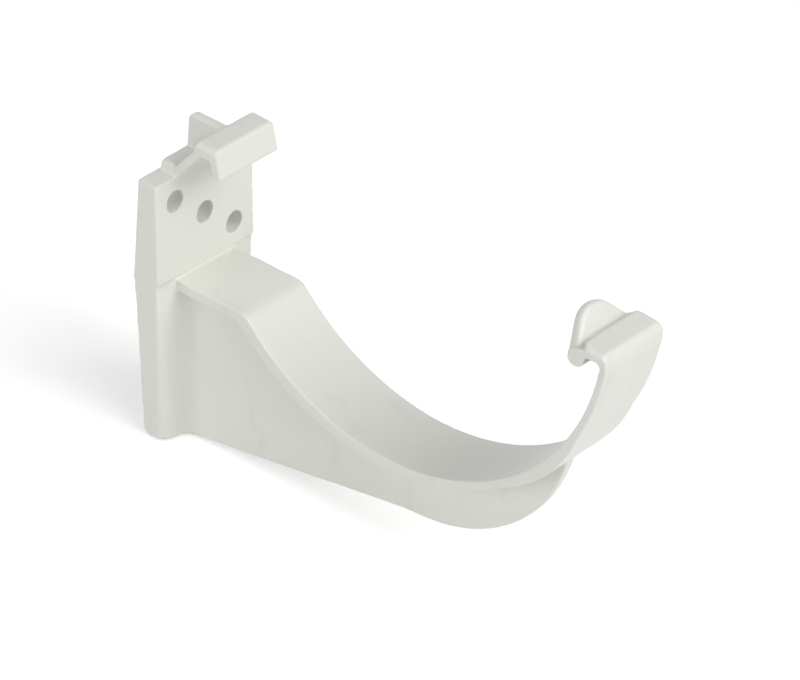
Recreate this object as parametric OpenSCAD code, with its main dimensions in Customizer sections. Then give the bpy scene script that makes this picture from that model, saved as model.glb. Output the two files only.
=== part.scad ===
// Gutter bracket: one moulded piece that screws to a fascia board and
// carries a half-round gutter between a rear hook and a front clip.
// Millimetres. X runs along the gutter, +Y points into the fascia, +Z up.
// The origin is where the middle screw's axis meets the fascia.

/* [Gutter] */
// Outside width of the half-round gutter
gutter_w = 112; // [106:0.5:118]
// Play between the gutter and the saddle, each side
gutter_play = 0.5; // [0.2:0.1:1.0]
// Fascia to the back of the gutter at its widest
gutter_gap = 11.4; // [10.6:0.1:12.4]
// Height of the gutter's centre above the middle screw
gutter_rise = 26.9; // [26:0.1:28]
// Width of the slot that takes the gutter's beaded edge
bead_w = 4.3; // [3.6:0.1:5]

/* [Back plate] */
// Width of the plate
plate_w = 32; // [30:0.5:38]
// Plate thickness at the middle screw
plate_t = 6.15; // [5.4:0.05:7]
// Angle between the front face and the fascia, degrees
plate_lean = 5; // [4:0.5:6]
// Height of the plate above the shelf, along its face
plate_up = 26.2; // [25:0.2:28]
// Height of the plate below the shelf, along its face
plate_down = 40.6; // [38:0.2:43]
// Narrowing of each side of the plate down to its foot
plate_taper = 1.5; // [0.5:0.1:2.5]
// How far the lower face is set back from the upper one
face_step = 0.35; // [0.2:0.05:0.6]
// Front wall of the cored plate
face_t = 2.4; // [1.8:0.1:2.8]
// Rim walls of the cored plate
rim_t = 2.2; // [1.6:0.1:2.8]

/* [Screws] */
// Screw clearance hole
screw_d = 5.3; // [4.5:0.1:5.8]
// Sideways pitch of the three screws
screw_dx = 9.6; // [9:0.1:10]
// Upward pitch of the three screws
screw_dz = 6.8; // [6:0.1:7.2]
// Wall of the boss round each screw
boss_t = 1.9; // [1.4:0.1:2.2]

/* [Strap] */
// Width of the strap
strap_w = 19.6; // [18:0.2:22]
// Strap thickness under the gutter
strap_t = 2.8; // [2.4:0.1:3.4]
// Thinning of the strap toward the front clip
strap_thin = 1.1; // [0.8:0.1:1.2]
// Shelf below the middle screw, at the plate
shelf_drop = 13.15; // [12.8:0.05:14]
// Rise of the shelf toward the gutter, degrees
shelf_pitch = 1.5; // [0:0.5:3]
// Rounding where the shelf turns down into the saddle
bend_r = 3.5; // [2:0.5:4]

/* [Web] */
// Width of the web at the plate
web_root = 15.8; // [14:0.2:16.4]
// Width of the web at its nose
web_tip = 2.8; // [2.4:0.1:4]
// Length over which the web narrows
web_run = 62; // [56:1:66]
// Radius of the nose under the front of the saddle
nose_r = 42.6; // [41.5:0.1:43.5]
// Wall of the hollow web
web_t = 2.2; // [1.8:0.1:2.6]
// Fillet between web and plate
web_fillet = 4; // [2:0.5:4.5]

/* [Front clip] */
// Depth of the slot's roof below the gutter's centre
clip_drop = 4.4; // [4:0.1:5]
// Thickness of the bridge over the slot
clip_t = 2.8; // [2.2:0.1:3.2]
// Depth of the slot
clip_depth = 3.5; // [3:0.1:3.8]
// Thickness of the inner lobe
lobe_t = 4.4; // [4:0.1:4.8]
// Thickness of the lead-in tab
tab_t = 3.1; // [2.6:0.1:3.3]
// Width of the lead-in tab at its root
tab_w = 19.5; // [17:0.1:19.5]
// Length of the lead-in tab
tab_len = 6.9; // [6:0.1:8]
// Rounding of the tab's edges
tab_edge = 1.1; // [0.6:0.1:1.2]
// Backward slope of the lead-in tab, degrees
tab_slope = 33.5; // [28:0.5:38]
// Rounding of the tab's tip
tab_r = 6.6; // [5:0.2:8]

/* [Rear hook] */
// Width of the hook
hook_w = 19.2; // [17.6:0.2:19.6]
// Depth of the hook's roof below the gutter's centre
hook_drop = 5.5; // [5:0.1:6]
// Thickness of the hook's roof
hook_t = 3.3; // [2.8:0.1:3.8]
// Length of the hook's lip below its roof
lip_len = 3.2; // [2.8:0.1:4]
// Thickness of the lip
lip_t = 2.6; // [2.2:0.1:3]
// Outward slope of the lip, degrees
lip_slope = 16; // [10:1:18]
// Thickness of the neck that carries the hook
neck_t = 2.1; // [1.7:0.1:2.5]
// Height of the raised block behind the neck
block_h = 2.9; // [2.4:0.1:3.2]
// Thickness of the rib behind the hook
rib_w = 2.4; // [1.6:0.1:3]

/* [Hidden] */
$fn = 48;
eps = 0.01;
saddle_r = gutter_w / 2 + gutter_play;
cy = -(gutter_gap + saddle_r);
cz = gutter_rise;
out_r = saddle_r + strap_t;
root_y = -(plate_t + shelf_drop * tan(plate_lean));   // shelf meets the face
foot_y = root_y - plate_down * sin(plate_lean);
foot_z = -shelf_drop - plate_down * cos(plate_lean);
pad_back = 16.4;                                      // centre of the arc that blends the nose
pad_down = 14.4;                                      // into the strap, ahead of and below the saddle's
pad_r = saddle_r - 18.8;
nose_ahead = 2.7;                                     // nose's centre ahead of the saddle's
nose_depth = 17.8;                                    // nose below the bottom of the saddle
big = 2 * gutter_w;                                   // larger than the part, for cuts
half_w = plate_w / 2;
foot_hw = half_w - plate_taper;
hook_top = cz - hook_drop + hook_t;
slot_out = -sqrt(saddle_r * saddle_r - clip_drop * clip_drop);   // front slot's walls, from the centre
slot_in = slot_out + bead_w;
slab_back = 1.15;                                     // clip's slab reaches back past the slot
slab_r = 1.5;                                         // rounding of the slab's corners
slab_back_r = 2.9;                                    // rounding of its back corners, in plan
lip_r = 0.6;                                          // rounding of the lip's front corners
crease_up = 0.75;                                     // crease above the shelf, along the face
lower_t = 6.85;                                       // depth of the lower half behind the face
function on_face(up) = [root_y + up * sin(plate_lean), -shelf_drop + up * cos(plate_lean)];
crease = on_face(crease_up);
top_front = on_face(plate_up);

// The shelf's top line cut by the saddle circle
shelf_m = -tan(shelf_pitch);
shelf_b = -shelf_drop - shelf_m * root_y;
q_a = 1 + shelf_m * shelf_m;
q_b = -2 * cy + 2 * shelf_m * (shelf_b - cz);
q_c = cy * cy + (shelf_b - cz) * (shelf_b - cz) - saddle_r * saddle_r;
bend_y = (-q_b + sqrt(q_b * q_b - 4 * q_a * q_c)) / (2 * q_a);
bend_z = shelf_m * bend_y + shelf_b;

// Nose circle and the tangent to it from the plate's foot
nose_c = [cy - nose_ahead, cz - (saddle_r + nose_depth - nose_r)];
foot = [foot_y, foot_z - 0.4];
nose_d = norm(nose_c - foot);
nose_a = atan2(foot.y - nose_c.y, foot.x - nose_c.x) - acos(nose_r / nose_d);
nose_p = nose_c + nose_r * [cos(nose_a), sin(nose_a)];

function unit(v) = v / norm(v);
function corner(p0, p1, p2, r, n) =
    let (a = unit(p0 - p1), b = unit(p2 - p1), h = acos(a * b) / 2,
         c = p1 + unit(a + b) * (r / sin(h)), s = p1 + a * (r / tan(h)), e = p1 + b * (r / tan(h)),
         a0 = atan2(s.y - c.y, s.x - c.x), a1 = atan2(e.y - c.y, e.x - c.x),
         d = (a1 - a0 + 540) % 360 - 180)
    r <= 0 ? [p1] : [for (i = [0:n]) c + r * [cos(a0 + d * i / n), sin(a0 + d * i / n)]];
// Points are [y, z, corner radius]
function rounded(p, n = 6) =
    let (m = len(p)) [for (i = [0:m - 1]) for (q = corner(
        [p[(i + m - 1) % m].x, p[(i + m - 1) % m].y], [p[i].x, p[i].y],
        [p[(i + 1) % m].x, p[(i + 1) % m].y], p[i].z, n)) q];

// A side-view outline swept w wide about the middle plane
module sweep(w) rotate([90, 0, 90]) linear_extrude(w, center = true) children();
// Axes that lean with the plate's front face: origin at the shelf's root
module leaning() translate([0, root_y, -shelf_drop]) rotate([-plate_lean, 0, 0]) children();
// A front-view outline cut from depth y0 to y1 behind the face
module through(y0, y1) translate([0, y1, 0]) rotate([90, 0, 0]) linear_extrude(y1 - y0) children();
module screws() for (i = [-1:1]) translate([i * screw_dx, 0, -i * screw_dz]) rotate([90, 0, 0]) children();
module behind_seat() translate([-big / 2, 0, -big / 2]) cube(big);

// ---- back plate ----
// Above the crease: front face leaning, top level, back flat on the fascia
module upper_plate() sweep(plate_w) polygon([
    [crease.x, crease.y - 0.05], [top_front.x, top_front.y], [0, top_front.y + 0.15], [0, crease.y - 1]]);

// Plan of the lower half at height z: depth t, its face set back by fy and
// its front corners rounded by out
module lower_slice(z, hw, out, fy, t) {
    side = [[hw, t], [hw, fy + out], [hw - out * 0.35, fy + out * 0.42],
            [hw - out * 1.05, fy + out * 0.06], [hw - out * 1.6, fy - out * 0.08]];
    translate([0, 0, z]) linear_extrude(eps)
        polygon(concat(side, [for (i = [4:-1:0]) [-side[i].x, side[i].y]]));
}

module lower_plate() leaning() difference() {
    hull() {
        lower_slice(crease_up + 0.2, half_w - 0.04, 0.4, face_step, lower_t + 0.3);
        lower_slice(-plate_down, foot_hw, 2.2, 0.15, lower_t);
    }
    // rounded heel at the back of the foot
    translate([0, lower_t - 2.2, -plate_down + 2.2]) rotate([0, 90, 0]) difference() {
        translate([0, 0, -plate_w]) cube([3, 3, 2 * plate_w]);
        cylinder(r = 2.2, h = 3 * plate_w, center = true);
    }
}

module plate_pockets() {
    top_hw = half_w - rim_t;
    low_hw = foot_hw - rim_t;
    leaning() {
        through(face_t, big) translate([-top_hw, 0]) square([2 * top_hw, plate_up - rim_t]);
        for (s = [-1, 1]) through(face_t + 0.3, big)
            polygon([[s * web_root / 2, -strap_t], [s * (top_hw - 0.1), -strap_t],
                     [s * low_hw, -plate_down + rim_t], [s * web_root / 2, -plate_down + rim_t]]);
    }
}

module plate_fillets() leaning() for (s = [-1, 1]) scale([s, 1, 1])
    translate([web_root / 2 - 0.7 + web_fillet, -web_fillet + face_step, -plate_down]) linear_extrude(plate_down - 1.2)
        difference() {
            translate([-web_fillet - 1, 0]) square([web_fillet + 1, web_fillet + 1]);
            circle(r = web_fillet);
            translate([-web_fillet - 1, -1]) square([0.4, 1]);
        }

// ---- web ----
module web_side() difference() {
    union() {
        polygon([[root_y + 1, -shelf_drop - 0.5], [foot_y + 1, foot_z + 0.09], foot, nose_p, nose_c, [bend_y - 6, -shelf_drop - 0.5]]);
        translate(nose_c) circle(r = nose_r, $fn = 120);
    }
    translate([cy, cz]) circle(r = saddle_r + 1, $fn = 180);
    translate([cy - big / 2, cz - saddle_r / 2]) square(big);
}

// Plan of the tapering web
module web_plan() let (slope = (web_root - web_tip) / 2 / web_run, in = 2 * plate_t)
    polygon([[-web_root / 2 - slope * in, root_y + in], [-web_tip / 2, root_y - web_run],
             [-web_tip / 2, -big], [web_tip / 2, -big],
             [web_tip / 2, root_y - web_run], [web_root / 2 + slope * in, root_y + in]]);

module web_body() intersection() {
    sweep(web_root + 4) web_side();
    translate([0, 0, -big / 2]) linear_extrude(big) web_plan();
}

// Walls of the hollow web carried back to the fascia below the shelf
module web_seat() sweep(web_root + 0.1) polygon([
    [0, -shelf_drop], [0, foot_z + 1.2], [-1, foot_z + 0.2],
    [foot_y + 0.3, foot_z + 0.06], [root_y + 0.3, -shelf_drop]]);

module web_core() {
    slope = (web_root - web_tip) / 2 / web_run;
    end_hw = 0.9;
    end_y = root_y - (web_root / 2 - web_t - end_hw) / slope;
    back_hw = web_root / 2 - web_t;
    intersection() {
        sweep(plate_w) difference() {
            polygon([[1, -shelf_drop - strap_t], [1, foot_z + rim_t], [foot_y, foot_z + rim_t],
                     [nose_p.x, nose_p.y + rim_t], [nose_p.x, bend_z - strap_t], [bend_y, bend_z - strap_t]]);
            translate([cy + strap_thin, cz]) circle(r = out_r + 0.3, $fn = 180);
        }
        translate([0, 0, -big / 2]) linear_extrude(big)
            polygon([[-back_hw, 1], [-back_hw, root_y], [-end_hw, end_y], [end_hw, end_y], [back_hw, root_y], [back_hw, 1]]);
    }
}

// ---- strap ----
module strap_side() {
    n = unit([bend_y, bend_z] - [cy, cz]);
    difference() {
        union() {
            difference() {
                union() {
                    translate([cy + strap_thin, cz]) circle(r = out_r, $fn = 180);
                    // the strap thickens where the nose runs into it
                    translate([cy - pad_back, cz - pad_down]) circle(r = pad_r, $fn = 180);
                }
                translate([cy, cz]) circle(r = saddle_r, $fn = 180);
                translate([cy, bend_z - 0.4]) square(big);
                translate([cy - big + 1, cz - clip_drop - clip_depth + 1]) square(big);
            }
            // shelf
            difference() {
                polygon([[root_y + 1.2, shelf_m * (root_y + 1.2) + shelf_b], [bend_y, bend_z],
                         [bend_y + 3.2 * n.x, bend_z + 3.2 * n.y], [bend_y + 4, bend_z - strap_t],
                         [root_y + 1.2, shelf_m * (root_y + 1.2) + shelf_b - strap_t]]);
                translate([cy, cz]) circle(r = saddle_r, $fn = 180);
            }
        }
        // rounded bend
        bend_cut();
    }
}

// Material outside the bend's rounding
module bend_cut() let (c = bend_centre(), u = unit(c - [cy, cz]))
    difference() {
        polygon([c, c + bend_r * unit([-shelf_m, 1]), [bend_y, bend_z + 0.5], [bend_y - 0.6, bend_z + 0.4], c - bend_r * u]);
        translate(c) circle(r = bend_r);
    }

// Centre of the rounding: bend_r under the shelf line and outside the saddle
function bend_centre() =
    let (b = shelf_b - bend_r * sqrt(q_a), rr = saddle_r + bend_r,
         p = -2 * cy + 2 * shelf_m * (b - cz), k = cy * cy + (b - cz) * (b - cz) - rr * rr,
         y = (-p + sqrt(p * p - 4 * q_a * k)) / (2 * q_a)) [y, shelf_m * y + b];

// ---- front clip ----
module clip_side() {
    roof = -clip_drop;
    face = -saddle_r - 1.6;
    low = roof - clip_depth;
    translate([cy, cz]) difference() {
        union() {
            polygon(rounded([[slot_out + 1, low - 1.5, 0], [face + 0.8, low - 1.5, 0], [face + 0.6, roof - 2.9, 0],
                [face, roof - 2.3, 0.35], [face + 0.1, roof + 0.9, 1.3], [face + 1.5, roof + 2.35, 0.8],
                [slot_in + slab_back, roof + clip_t + 0.35, 1.2], [slot_in + slab_back + 0.55, roof + 1.1, 0.25],
                [slot_in + slab_back + 1.7, roof + 0.85, 0], [slot_in + slab_back + 1.7, roof - 1.6, 0],
                [slot_out + 1, roof - 1.6, 0]]));
            translate([slot_in + lobe_t / 2, low + lobe_t / 2]) circle(r = lobe_t / 2);
            polygon([[slot_in, low + lobe_t / 2], [slot_in + lobe_t, low + lobe_t / 2],
                     [slot_in + lobe_t, roof], [slot_in + 1.2, roof + 0.25], [slot_in, roof - 0.5]]);
        }
        // slot for the gutter's bead, open below
        intersection() {
            translate([slot_out - 1, low - 3]) square([bead_w + 1, clip_depth + 3 - 1.3]);
            circle(r = saddle_r, $fn = 180);
        }
        translate([slot_out + 1.3, low - 3]) square([bead_w - 2.6, clip_depth + 3]);
        for (y = [slot_out + 1.3, slot_in - 1.3]) translate([y, roof - 1.3]) circle(r = 1.3);
    }
}

// What lies outside the arc of a corner of radius r centred on the origin
module corner_cut(r) difference() {
    square(2 * r);
    circle(r = r);
}

// The clip's block, its corners rounded as seen from the front and from above
module clip() difference() {
    intersection() {
        sweep(strap_w) clip_side();
        through(cy - big, cy) polygon(rounded([
            [-strap_w / 2, 0, 0], [-strap_w / 2, cz - 1.2, 2.2], [strap_w / 2, cz - 1.2, 2.2], [strap_w / 2, 0, 0]]));
    }
    for (s = [-1, 1]) scale([s, 1, 1]) {
        // back corners of the slab, above the groove at the tab's foot
        translate([strap_w / 2 - slab_back_r, cy + slot_in + slab_back + 0.2 - slab_back_r,
                   cz - clip_drop + 1.25])
            linear_extrude(big) corner_cut(slab_back_r);
        // lower corners of the slab's front lip
        through(cy - big, cy - saddle_r - 1.35)
            translate([strap_w / 2 - slab_r, cz - clip_drop - 2.75 + slab_r]) scale([1, -1]) corner_cut(slab_r);
    }
}

// A disc lying in the tab's plane, its rim rounded by edge
module tab_disc(r, edge) rotate([90, 0, 0]) for (a = [0, 45, 90])
    cylinder(r = r - edge * (1 - cos(a)), h = tab_t - 2 * edge * (1 - sin(a)), center = true, $fn = 32);

// Lead-in tab: a rounded triangle sloping back over the gutter
module clip_tab() {
    foot_r = 1.2;
    translate([0, cy + slot_in + lobe_t - tab_t / 2 + 0.75, cz - clip_drop]) rotate([-tab_slope, 0, 0]) hull() {
        translate([0, 0, tab_len - tab_r]) tab_disc(tab_r, tab_edge);
        for (s = [-1, 1]) translate([s * (tab_w / 2 - foot_r), 0, -1.3]) tab_disc(foot_r, tab_edge / 2);
    }
}

// ---- rear hook ----
module hook_side() {
    roof = cz - hook_drop;
    neck_a = 51.5;                     // slope of the neck
    start = top_front + [-0.35, 0];
    run = [-cos(neck_a), sin(neck_a)];
    nrm = [sin(neck_a), cos(neck_a)];
    lip_y = cy + saddle_r - bead_w + 1.15;
    lean = tan(lip_slope);
    k = (roof - start.y) / run.y;
    k2 = (roof + 0.1 - start.y - neck_t * nrm.y) / run.y;
    k3 = (-1 - neck_t * nrm.y) / run.y;
    polygon(rounded([
        [start.x, start.y, 0],
        [start.x + run.x * k, roof, 0.8],
        [lip_y, roof + 0.1, 0.9],
        [lip_y - lip_len * lean, roof - lip_len, 0.4],
        [lip_y - lip_len * lean - lip_t - 0.35, roof - lip_len - 0.75, 0.5],
        [lip_y - lip_t + (hook_t - 0.4) * lean, hook_top, 1.0],
        [cy + saddle_r + 1.0, hook_top, 0.8],
        [start.x + nrm.x * neck_t + run.x * k2, start.y + nrm.y * neck_t + run.y * k2, 1.2],
        [start.x + nrm.x * neck_t + run.x * k3, start.y + nrm.y * neck_t + run.y * k3, 0],
        [start.x + 0.3, start.y - 1.2, 0]]));
}

// Raised block on top of the plate, behind the neck
module block_side() polygon(rounded([
    [top_front.x + 0.5, top_front.y - 2, 0], [top_front.x + 0.5, top_front.y + block_h - 0.15, 0.6],
    [-0.6, top_front.y + block_h, 0.5], [-0.6, top_front.y - 2, 0]]));

// Seen from the front: corners rounded at the top, sides flared into the plate below
module flared(top) through(-big / 2, big / 2)
    let (low = top_front.y, half = [[hook_w / 2 + 1.4, low - 2, 0], [hook_w / 2 + 1.4, low + 0.1, 0],
         [hook_w / 2, low + 0.4, 0.9], [hook_w / 2, top, 1.35]])
    polygon(rounded(concat([for (p = half) [-p.x, p.y, p.z]], [for (i = [3:-1:0]) half[i]])));

module hook() {
    difference() {
        intersection() {
            sweep(plate_w) hook_side();
            flared(hook_top);
        }
        // front corners of the lip
        for (s = [-1, 1]) scale([s, 1, 1])
            translate([hook_w / 2,
                       cy + saddle_r - bead_w + 1.15 - lip_t + (hook_t - 0.4) * tan(lip_slope), hook_top])
                rotate([-lip_slope, 0, 0]) linear_extrude(6 * hook_t, center = true)
                    translate([-lip_r, lip_r]) scale([1, -1]) corner_cut(lip_r);
    }
    intersection() {
        sweep(plate_w) block_side();
        flared(top_front.y + block_h);
    }
}

module hook_rib() {
    top = hook_top - 0.4;
    sweep(rib_w) polygon(rounded([
        [top_front.x + 2.5, top_front.y - 0.95, 0], [-0.65, top_front.y - 0.95, 0], [-0.65, top - 0.1, 1.7],
        [cy + saddle_r + 0.4, top, 0], [cy + saddle_r + 0.4, cz - hook_drop + 0.3, 0],
        [top_front.x - 0.6, top_front.y + 1.05, 0]]));
}

module gutter_bracket() color([0.9, 0.91, 0.9]) difference() {
    union() {
        difference() {
            union() { upper_plate(); lower_plate(); web_body(); web_seat(); }
            plate_pockets();
            web_core();
        }
        plate_fillets();
        sweep(strap_w) strap_side();
        clip();
        clip_tab();
        hook();
        hook_rib();
        // bosses and the wall behind the shelf
        difference() {
            union() {
                screws() cylinder(d = screw_d + 2 * boss_t, h = plate_t + 0.5);
                leaning() translate([-half_w + 0.5, face_t - 0.5, -strap_t]) cube([plate_w - 1, 10, strap_t]);
            }
            leaning() translate([-big / 2, 1 - big, -big / 2]) cube(big);
            behind_seat();
        }
    }
    screws() translate([0, 0, -1]) cylinder(d = screw_d, h = 3 * plate_t);
}

gutter_bracket();
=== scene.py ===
"""Looks for the gutter bracket: one moulded piece of off-white uPVC on a pale studio floor.

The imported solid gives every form. This script makes the bracket's visible skin from it, with
rounded edges and filleted inside corners, gives it its plastic, and sets up the studio.
"""

import bmesh
import bpy
import numpy as np
from mathutils import Matrix, Vector


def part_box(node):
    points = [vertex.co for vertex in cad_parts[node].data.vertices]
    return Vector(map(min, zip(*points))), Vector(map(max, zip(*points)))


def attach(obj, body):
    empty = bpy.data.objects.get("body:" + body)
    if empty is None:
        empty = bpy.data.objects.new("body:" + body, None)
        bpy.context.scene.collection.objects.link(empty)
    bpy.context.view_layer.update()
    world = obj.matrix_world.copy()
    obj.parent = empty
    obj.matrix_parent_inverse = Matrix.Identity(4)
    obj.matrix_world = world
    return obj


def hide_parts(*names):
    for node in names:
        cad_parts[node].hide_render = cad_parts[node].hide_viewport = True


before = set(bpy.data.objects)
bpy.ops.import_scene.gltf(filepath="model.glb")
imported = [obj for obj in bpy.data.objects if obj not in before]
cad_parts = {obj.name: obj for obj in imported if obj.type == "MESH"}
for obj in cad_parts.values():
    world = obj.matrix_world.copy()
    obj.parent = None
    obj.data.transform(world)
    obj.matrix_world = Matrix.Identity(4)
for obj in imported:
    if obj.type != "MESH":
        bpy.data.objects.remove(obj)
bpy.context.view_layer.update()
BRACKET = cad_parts["gutter_bracket"]

bl_info = {
    "name": "Gutter Bracket Looks",
    "version": (1, 0, 0),
    "blender": (4, 5, 0),
    "location": "3D View > Sidebar > Gutter Bracket",
    "description": "Softens a moulded gutter bracket's edges, gives it its plastic and lights it",
    "category": "Object",
}


# ---------------------------------------------------------------- fixed values

# Lengths are in metres. Points are counted from the middle screw's axis on the fascia:
# +X runs along the gutter, +Y into the fascia and +Z up.

# Stretches whose edges are softer than the rest: low corner, high corner, and how many
# times over the softer passes run there.
SOFTER = (
    ((-0.017, -0.030, 0.0134), (0.017, 0.001, 0.030), 1),  # hook and its rib
    ((-0.017, -0.128, 0.0212), (0.017, -0.104, 0.030), 1),  # clip, above its slab's lower edge
    ((-0.017, -0.1215, 0.0205), (-0.0070, -0.1080, 0.0240), 1),  # tab's left foot on the lobe
    ((0.0070, -0.1215, 0.0205), (0.017, -0.1080, 0.0240), 1),  # tab's right foot on the lobe
    ((-0.0088, -0.0315, -0.0165), (0.0088, -0.0235, -0.0090), 8),  # shelf's turn into the saddle
    ((-0.0085, -0.0105, -0.0155), (0.0085, -0.0058, -0.0100), 3),  # shelf's root on the plate
    ((-0.0045, -0.1160, -0.0500), (0.0045, -0.0500, -0.0345), 3),  # web's lower rim
    ((-0.0045, -0.1160, -0.0345), (0.0045, -0.0960, -0.0160), 3),  # web's nose
)

# Low and high corner of the thin sliver of pocket between the left screw's boss and the
# pocket's corner. The skin closes it: a mould has no core that thin.
SLIVER = ((-0.0140, -0.0032, 0.0083), (-0.0122, -0.0001, 0.0107))

MERGE_DISTANCE = 2e-6  # corners of the solid that are nearer than this become one
EASE_FACTOR = 0.5  # how far each pass moves a point towards the middle of its neighbours
FLAT_FACE_WEIGHT = 60  # above 50, large flat faces rule the shading of the points they share

UPVC_IOR = 1.53
GRAIN_STRENGTH = 0.35
MARK_TALLNESS = 0.4  # below 1, the marks are taller than they are wide
MARK_STARTS, MARK_IS_FULL = 0.6, 0.85  # levels of the noise between which a mark fades in
NOISE_MIDDLE = 0.5

FLOOR_HALF_SIDE = 6.0
FLOOR_GAP = 0.0005  # between the floor and the bracket's lowest point
GLOW_STARTS, GLOW_IS_WHITE = 0.35, 1.6  # from the floor's middle, where its glow turns white

# Each lamp's name, the setting that holds its power, and its place from the middle of the
# bracket, at which it is aimed.
LAMPS = (
    ("key_lamp", "key_power", (-0.55, -3.5, 2.0)),
    ("high_lamp", "high_power", (0.9, -2.9, 2.9)),
    ("fill_lamp", "fill_power", (-3.4, 1.0, 0.8)),
    ("top_lamp", "top_power", (-0.65, -0.65, 4.0)),
)

CAMERA_PLACE = (-0.77971, -0.67038, 0.67193)
CAMERA_RIGHT = (0.648, -0.7587, 0.0664)
CAMERA_UP = (0.3957, 0.4098, 0.8219)
CAMERA_BACK = (-0.6507, -0.5064, 0.5658)
CAMERA_LENS, CAMERA_SENSOR = 247.83, 36.0  # in millimetres
CAMERA_NEAR, CAMERA_FAR = 0.05, 50.0

WHITE = (1, 1, 1, 1)


# ---------------------------------------------------------------- settings


class BracketMouldSettings(bpy.types.PropertyGroup):
    """Sizes of the moulding's finish"""

    fineness: bpy.props.FloatProperty(
        name="Fineness",
        description="Size of the cells from which the moulded skin is made",
        default=0.00025,
        min=0.0002,
        max=0.001,
        precision=5,
        subtype="DISTANCE",
        unit="LENGTH",
    )
    rounding_passes: bpy.props.IntProperty(
        name="Rounding passes",
        description="How often edges and inside corners are eased; more passes round them more",
        default=6,
        min=0,
        max=30,
    )
    softer_passes: bpy.props.IntProperty(
        name="Softer passes",
        description="Further passes where edges are softer, such as on the hook and the clip",
        default=7,
        min=0,
        max=60,
    )
    kept_share: bpy.props.FloatProperty(
        name="Faces kept",
        description="Share of the skin's faces that is kept, fewest where it is flat",
        default=0.22,
        min=0.02,
        max=1.0,
        subtype="FACTOR",
    )


class BracketPlasticSettings(bpy.types.PropertyGroup):
    """Colour and finish of the uPVC"""

    plastic: bpy.props.FloatVectorProperty(
        name="Plastic",
        description="Colour of the uPVC",
        subtype="COLOR",
        size=3,
        min=0.0,
        max=1.0,
        default=(0.795, 0.805, 0.745),
    )
    smudge: bpy.props.FloatVectorProperty(
        name="Smudge",
        description="Colour of faint handling marks and flow shadows",
        subtype="COLOR",
        size=3,
        min=0.0,
        max=1.0,
        default=(0.66, 0.665, 0.61),
    )
    roughness: bpy.props.FloatProperty(
        name="Roughness",
        description="Roughness of the satin moulded face",
        default=0.34,
        min=0.0,
        max=1.0,
        subtype="FACTOR",
    )
    grain: bpy.props.FloatProperty(
        name="Grain",
        description="Height of the fine mould texture",
        default=0.00002,
        precision=6,
        subtype="DISTANCE",
        unit="LENGTH",
    )


class BracketStudioSettings(bpy.types.PropertyGroup):
    """Floor, lamps and even light"""

    floor: bpy.props.FloatVectorProperty(
        name="Floor",
        description="Colour of the plain floor",
        subtype="COLOR",
        size=3,
        min=0.0,
        max=1.0,
        default=(0.86, 0.86, 0.86),
    )
    floor_glow: bpy.props.FloatProperty(
        name="Floor glow",
        description="Share of white that the camera sees on the floor besides its lit colour",
        default=0.5,
        min=0.0,
        max=1.0,
        subtype="FACTOR",
    )
    key_power: bpy.props.FloatProperty(
        name="Key lamp",
        description="Power of the soft lamp in front of the plate",
        default=57.0,
        min=0.0,
        subtype="POWER",
        unit="POWER",
    )
    high_power: bpy.props.FloatProperty(
        name="High lamp",
        description="Power of the soft lamp high in front of the clip",
        default=71.0,
        min=0.0,
        subtype="POWER",
        unit="POWER",
    )
    fill_power: bpy.props.FloatProperty(
        name="Fill lamp",
        description="Power of the soft lamp beside the bracket",
        default=60.0,
        min=0.0,
        subtype="POWER",
        unit="POWER",
    )
    top_power: bpy.props.FloatProperty(
        name="Top lamp",
        description="Power of the soft lamp above the bracket",
        default=34.0,
        min=0.0,
        subtype="POWER",
        unit="POWER",
    )
    lamp_size: bpy.props.FloatProperty(
        name="Lamp size",
        description="Side of each soft lamp",
        default=2.8,
        min=0.1,
        subtype="DISTANCE",
        unit="LENGTH",
    )
    sky: bpy.props.FloatProperty(
        name="Sky",
        description="Strength of the even light from all round",
        default=0.1,
        min=0.0,
    )


# ---------------------------------------------------------------- materials


def add_node(tree, kind, place, **values):
    """A node at place, with its attributes and its inputs set by name, _ for a space."""
    node = tree.nodes.new(kind)
    node.location = place
    for key, value in values.items():
        if hasattr(node, key):
            setattr(node, key, value)
        else:
            node.inputs[key.replace("_", " ")].default_value = value
    return node


def cleared_tree(owner):
    """The node tree of a material or world, switched on and emptied."""
    owner.use_nodes = True
    owner.node_tree.nodes.clear()
    return owner.node_tree


def background_rays(tree, place):
    """Output that is 1 for camera, glossy and transmission rays and 0 for all others."""
    path = add_node(tree, "ShaderNodeLightPath", place)
    shown = path.outputs["Is Camera Ray"]
    for step, kind in enumerate(("Is Glossy Ray", "Is Transmission Ray"), 1):
        beside = (place[0] + 180 * step, place[1])
        either = add_node(tree, "ShaderNodeMath", beside, operation="MAXIMUM")
        tree.links.new(shown, either.inputs[0])
        tree.links.new(path.outputs[kind], either.inputs[1])
        shown = either.outputs[0]
    return shown


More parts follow.
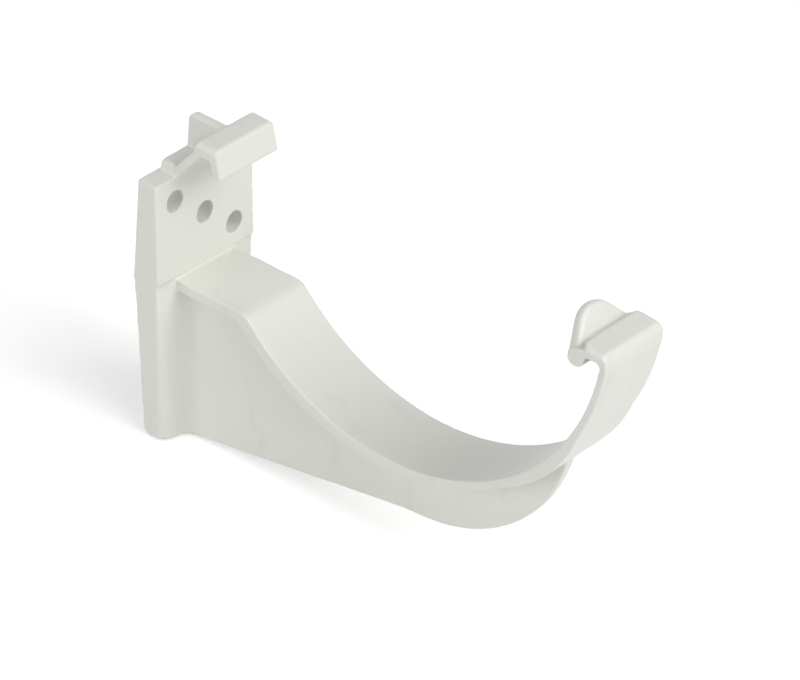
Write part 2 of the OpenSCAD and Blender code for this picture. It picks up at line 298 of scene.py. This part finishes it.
def moulded_surface_group():
    """Shader group: smudged colour, uneven gloss and fine grain of a moulded face."""
    old = bpy.data.node_groups.get("moulded_surface")
    if old:
        return old
    group = bpy.data.node_groups.new("moulded_surface", "ShaderNodeTree")
    sockets = (
        ("Colour", "INPUT", "NodeSocketColor", None),
        ("Smudge Colour", "INPUT", "NodeSocketColor", None),
        ("Smudge Size", "INPUT", "NodeSocketFloat", 110.0),
        ("Smudge Amount", "INPUT", "NodeSocketFloat", 0.55),
        ("Roughness", "INPUT", "NodeSocketFloat", None),
        ("Gloss Play", "INPUT", "NodeSocketFloat", 0.08),
        ("Grain Size", "INPUT", "NodeSocketFloat", 2600.0),
        ("Colour", "OUTPUT", "NodeSocketColor", None),
        ("Roughness", "OUTPUT", "NodeSocketFloat", None),
        ("Height", "OUTPUT", "NodeSocketFloat", None),
    )
    for name, way, kind, value in sockets:
        socket = group.interface.new_socket(name=name, in_out=way, socket_type=kind)
        if value is not None:
            socket.default_value = value
    link = group.links.new
    inputs = add_node(group, "NodeGroupInput", (-1000, 0))
    outputs = add_node(group, "NodeGroupOutput", (700, 0))
    coords = add_node(group, "ShaderNodeTexCoord", (-1200, 300))

    # faint upright marks, few and far between
    stretch = (1.0, 1.0, MARK_TALLNESS)
    upright = add_node(group, "ShaderNodeMapping", (-980, 480), Scale=stretch)
    link(coords.outputs["Object"], upright.inputs["Vector"])
    clouds = add_node(group, "ShaderNodeTexNoise", (-760, 300), Detail=3.0, Roughness=0.55)
    clouds.inputs["Distortion"].default_value = 0.6
    link(upright.outputs["Vector"], clouds.inputs["Vector"])
    link(inputs.outputs["Smudge Size"], clouds.inputs["Scale"])
    marks = add_node(group, "ShaderNodeMapRange", (-520, 300))
    marks.inputs["From Min"].default_value = MARK_STARTS
    marks.inputs["From Max"].default_value = MARK_IS_FULL
    link(clouds.outputs["Fac"], marks.inputs["Value"])
    amount = add_node(group, "ShaderNodeMath", (-280, 300), operation="MULTIPLY")
    link(marks.outputs["Result"], amount.inputs[0])
    link(inputs.outputs["Smudge Amount"], amount.inputs[1])
    blend = add_node(group, "ShaderNodeMix", (0, 300), data_type="RGBA")
    link(amount.outputs[0], blend.inputs["Factor"])
    link(inputs.outputs["Colour"], blend.inputs["A"])
    link(inputs.outputs["Smudge Colour"], blend.inputs["B"])
    link(blend.outputs["Result"], outputs.inputs["Colour"])

    # gloss that wanders a little over the faces
    gloss = add_node(group, "ShaderNodeTexNoise", (-760, 0), Scale=180.0, Detail=4.0)
    gloss.inputs["Roughness"].default_value = 0.6
    link(coords.outputs["Object"], gloss.inputs["Vector"])
    play = add_node(group, "ShaderNodeMath", (-520, 0), operation="SUBTRACT")
    link(gloss.outputs["Fac"], play.inputs[0])
    play.inputs[1].default_value = NOISE_MIDDLE
    rough = add_node(group, "ShaderNodeMath", (-280, 0), operation="MULTIPLY_ADD")
    link(play.outputs[0], rough.inputs[0])
    link(inputs.outputs["Gloss Play"], rough.inputs[1])
    link(inputs.outputs["Roughness"], rough.inputs[2])
    link(rough.outputs[0], outputs.inputs["Roughness"])

    # fine grain of the mould's face
    grain = add_node(group, "ShaderNodeTexNoise", (-760, -300), Detail=2.0, Roughness=0.5)
    link(coords.outputs["Object"], grain.inputs["Vector"])
    link(inputs.outputs["Grain Size"], grain.inputs["Scale"])
    link(grain.outputs["Fac"], outputs.inputs["Height"])
    return group


def upvc_material(look):
    """Satin off-white uPVC with faint smudges."""
    material = bpy.data.materials.new("upvc_satin")
    tree = cleared_tree(material)
    link = tree.links.new
    output = add_node(tree, "ShaderNodeOutputMaterial", (600, 0))
    plastic = add_node(tree, "ShaderNodeBsdfPrincipled", (300, 0), IOR=UPVC_IOR)
    surface = add_node(tree, "ShaderNodeGroup", (-100, 0))
    surface.node_tree = moulded_surface_group()
    surface.inputs["Colour"].default_value = (*look.plastic, 1)
    surface.inputs["Smudge Colour"].default_value = (*look.smudge, 1)
    surface.inputs["Roughness"].default_value = look.roughness
    bump = add_node(tree, "ShaderNodeBump", (100, -250), Distance=look.grain)
    bump.inputs["Strength"].default_value = GRAIN_STRENGTH
    link(surface.outputs["Colour"], plastic.inputs["Base Color"])
    link(surface.outputs["Roughness"], plastic.inputs["Roughness"])
    link(surface.outputs["Height"], bump.inputs["Height"])
    link(bump.outputs["Normal"], plastic.inputs["Normal"])
    link(plastic.outputs["BSDF"], output.inputs["Surface"])
    return material


def floor_material(colour, glow_strength):
    """Plain pale floor: white to the camera where lit, a little darker in the shadow."""
    material = bpy.data.materials.new("studio_floor")
    tree = cleared_tree(material)
    link = tree.links.new
    output = add_node(tree, "ShaderNodeOutputMaterial", (800, 0))
    paint = add_node(tree, "ShaderNodeBsdfDiffuse", (200, -120), Color=(*colour, 1))

    # far from the bracket the glow rises to full white, so that the floor has no dark end
    coords = add_node(tree, "ShaderNodeTexCoord", (-800, 500))
    far = add_node(tree, "ShaderNodeVectorMath", (-600, 500), operation="LENGTH")
    rise = add_node(tree, "ShaderNodeMapRange", (-400, 500))
    rise.inputs["From Min"].default_value = GLOW_STARTS
    rise.inputs["From Max"].default_value = GLOW_IS_WHITE
    rise.inputs["To Min"].default_value = glow_strength
    strength = add_node(tree, "ShaderNodeMath", (0, 300), operation="MULTIPLY")
    glow = add_node(tree, "ShaderNodeEmission", (200, 120), Color=WHITE)
    link(coords.outputs["Object"], far.inputs[0])
    link(far.outputs["Value"], rise.inputs["Value"])
    link(background_rays(tree, (-600, 200)), strength.inputs[0])
    link(rise.outputs["Result"], strength.inputs[1])
    link(strength.outputs[0], glow.inputs["Strength"])

    shown = add_node(tree, "ShaderNodeAddShader", (500, 0))
    link(paint.outputs[0], shown.inputs[0])
    link(glow.outputs[0], shown.inputs[1])
    link(shown.outputs[0], output.inputs["Surface"])
    return material


# ---------------------------------------------------------------- shapes


def linked_object(name, data):
    """A new object in the scene that holds data."""
    thing = bpy.data.objects.new(name, data)
    bpy.context.scene.collection.objects.link(thing)
    return thing


def applied(thing):
    """The mesh that thing's modifiers make; thing and its own mesh are removed."""
    source = thing.data
    done = thing.evaluated_get(bpy.context.evaluated_depsgraph_get())
    mesh = bpy.data.meshes.new_from_object(done)
    bpy.data.objects.remove(thing)
    bpy.data.meshes.remove(source)
    return mesh


def closed_copy(solid):
    """A copy of the solid's mesh with its corners merged and its sliver filled."""
    bm = bmesh.new()
    bm.from_mesh(solid)
    bmesh.ops.remove_doubles(bm, verts=bm.verts, dist=MERGE_DISTANCE)
    low, high = map(Vector, SLIVER)
    scale = Matrix.Diagonal((*(high - low), 1.0))
    bmesh.ops.create_cube(bm, size=1.0, matrix=Matrix.Translation((low + high) / 2) @ scale)
    mesh = bpy.data.meshes.new("closed")
    bm.to_mesh(mesh)
    bm.free()
    return mesh


def even_skin(mesh, cell):
    """The skin of a closed mesh, remade with even cells of that size."""
    work = linked_object("skinning", mesh)
    remade = work.modifiers.new("even_skin", "REMESH")
    remade.mode = "VOXEL"
    remade.voxel_size = cell
    remade.use_smooth_shade = True
    return applied(work)


def ease(thing, name, passes, group=""):
    """Ease thing's points, or a group of them: edges turn round, inside corners fill."""
    easing = thing.modifiers.new(name, "SMOOTH")
    easing.factor = EASE_FACTOR
    easing.iterations = passes
    easing.vertex_group = group


def softened(solid, sizes):
    """A moulded skin of the solid: its edges rounded and its inside corners filleted."""
    skin = even_skin(closed_copy(solid), sizes.fineness)
    work = linked_object("easing", skin)
    ease(work, "rounding", sizes.rounding_passes)
    points = np.empty(3 * len(skin.vertices))
    skin.vertices.foreach_get("co", points)
    points = points.reshape(-1, 3)
    for index, (low, high, times) in enumerate(SOFTER):
        name = f"softer_{index}"
        inside = np.all((points > low) & (points < high), axis=1)
        stretch = work.vertex_groups.new(name=name)
        stretch.add(np.flatnonzero(inside).tolist(), 1.0, "REPLACE")
        ease(work, name, times * sizes.softer_passes, name)
    fewer = work.modifiers.new("fewer_faces", "DECIMATE")
    fewer.ratio = sizes.kept_share
    shading = work.modifiers.new("flat_faces_rule", "WEIGHTED_NORMAL")
    shading.weight = FLAT_FACE_WEIGHT
    return applied(work)


# ---------------------------------------------------------------- studio


def pale_floor(place, look):
    """A plain square floor centred on place."""
    bm = bmesh.new()
    bmesh.ops.create_grid(bm, x_segments=1, y_segments=1, size=FLOOR_HALF_SIDE)
    mesh = bpy.data.meshes.new("floor")
    bm.to_mesh(mesh)
    bm.free()
    mesh.materials.append(floor_material(look.floor, look.floor_glow))
    floor = linked_object("floor", mesh)
    floor.location = place


def area_lamp(name, power, place, target, size):
    """A soft square lamp at place, aimed at target."""
    data = bpy.data.lights.new(name, "AREA")
    data.energy = power
    data.size = size
    lamp = linked_object(name, data)
    lamp.location = place
    lamp.rotation_euler = (target - place).to_track_quat("-Z", "Y").to_euler()


def even_light(strength):
    """A world of that strength that the camera, gloss and glass see as plain white."""
    world = bpy.data.worlds.new("studio")
    bpy.context.scene.world = world
    tree = cleared_tree(world)
    link = tree.links.new
    output = add_node(tree, "ShaderNodeOutputWorld", (600, 0))
    sky = add_node(tree, "ShaderNodeBackground", (0, 0), Color=WHITE, Strength=strength)
    back = add_node(tree, "ShaderNodeBackground", (0, -150), Color=WHITE, Strength=1.0)
    shown = add_node(tree, "ShaderNodeMixShader", (300, 0))
    link(background_rays(tree, (-600, 200)), shown.inputs[0])
    link(sky.outputs[0], shown.inputs[1])
    link(back.outputs[0], shown.inputs[2])
    link(shown.outputs[0], output.inputs["Surface"])


def long_lens_camera():
    """The camera, in front of the bracket, to its left and above it."""
    data = bpy.data.cameras.new("camera")
    data.lens, data.sensor_width = CAMERA_LENS, CAMERA_SENSOR
    data.clip_start, data.clip_end = CAMERA_NEAR, CAMERA_FAR
    camera = linked_object("camera", data)
    turn = Matrix((CAMERA_RIGHT, CAMERA_UP, CAMERA_BACK)).transposed().to_4x4()
    camera.matrix_world = Matrix.Translation(CAMERA_PLACE) @ turn
    return camera


# ---------------------------------------------------------------- operators


class BRACKET_OT_moulding(bpy.types.Operator):
    """Make the bracket's moulding with softened edges and satin uPVC"""

    bl_idname = "gutter_bracket.moulding"
    bl_label = "Moulding"

    def execute(self, context):
        skin = softened(BRACKET.data, context.scene.bracket_mould)
        skin.name = "bracket_moulding"
        skin.materials.clear()
        skin.materials.append(upvc_material(context.scene.bracket_plastic))
        moulding = linked_object("bracket_moulding", skin)
        moulding.vertex_groups.clear()  # they only served the easing
        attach(moulding, "root")
        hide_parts("gutter_bracket")
        return {"FINISHED"}


class BRACKET_OT_studio(bpy.types.Operator):
    """Set up the pale floor, the soft lamps and the camera"""

    bl_idname = "gutter_bracket.studio"
    bl_label = "Studio"

    def execute(self, context):
        scene = context.scene
        look = scene.bracket_studio
        low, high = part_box("gutter_bracket")
        middle = (low + high) / 2
        pale_floor((middle.x, middle.y, low.z - FLOOR_GAP), look)
        for name, setting, way in LAMPS:
            power = getattr(look, setting)
            area_lamp(name, power, middle + Vector(way), middle, look.lamp_size)
        even_light(look.sky)
        scene.view_settings.view_transform = "Standard"
        scene.camera = long_lens_camera()
        return {"FINISHED"}


class BRACKET_PT_panel(bpy.types.Panel):
    """Sidebar panel that lists the bracket's settings and operators"""

    bl_idname = "BRACKET_PT_panel"
    bl_label = "Gutter Bracket"
    bl_space_type = "VIEW_3D"
    bl_region_type = "UI"
    bl_category = "Gutter Bracket"

    def draw(self, context):
        scene = context.scene
        for title, group, operator in (
            ("Moulding", scene.bracket_mould, BRACKET_OT_moulding),
            ("Plastic", scene.bracket_plastic, None),
            ("Studio", scene.bracket_studio, BRACKET_OT_studio),
        ):
            box = self.layout.box()
            box.label(text=title)
            for name in group.__annotations__:
                box.prop(group, name)
            if operator:
                box.operator(operator.bl_idname)


SETTINGS = (
    ("bracket_mould", BracketMouldSettings),
    ("bracket_plastic", BracketPlasticSettings),
    ("bracket_studio", BracketStudioSettings),
)
OPERATORS = (BRACKET_OT_moulding, BRACKET_OT_studio)


def register():
    """Register the settings, the operators and the panel."""
    for name, group in SETTINGS:
        bpy.utils.register_class(group)
        setattr(bpy.types.Scene, name, bpy.props.PointerProperty(type=group))
    for operator in OPERATORS:
        bpy.utils.register_class(operator)
    bpy.utils.register_class(BRACKET_PT_panel)


def unregister():
    """Undo register, in reverse order."""
    bpy.utils.unregister_class(BRACKET_PT_panel)
    for operator in reversed(OPERATORS):
        bpy.utils.unregister_class(operator)
    for name, group in reversed(SETTINGS):
        delattr(bpy.types.Scene, name)
        bpy.utils.unregister_class(group)


def main():
    """Make the moulding and the studio."""
    register()
    bpy.ops.gutter_bracket.moulding()
    bpy.ops.gutter_bracket.studio()


if __name__ == "__main__":
    main()
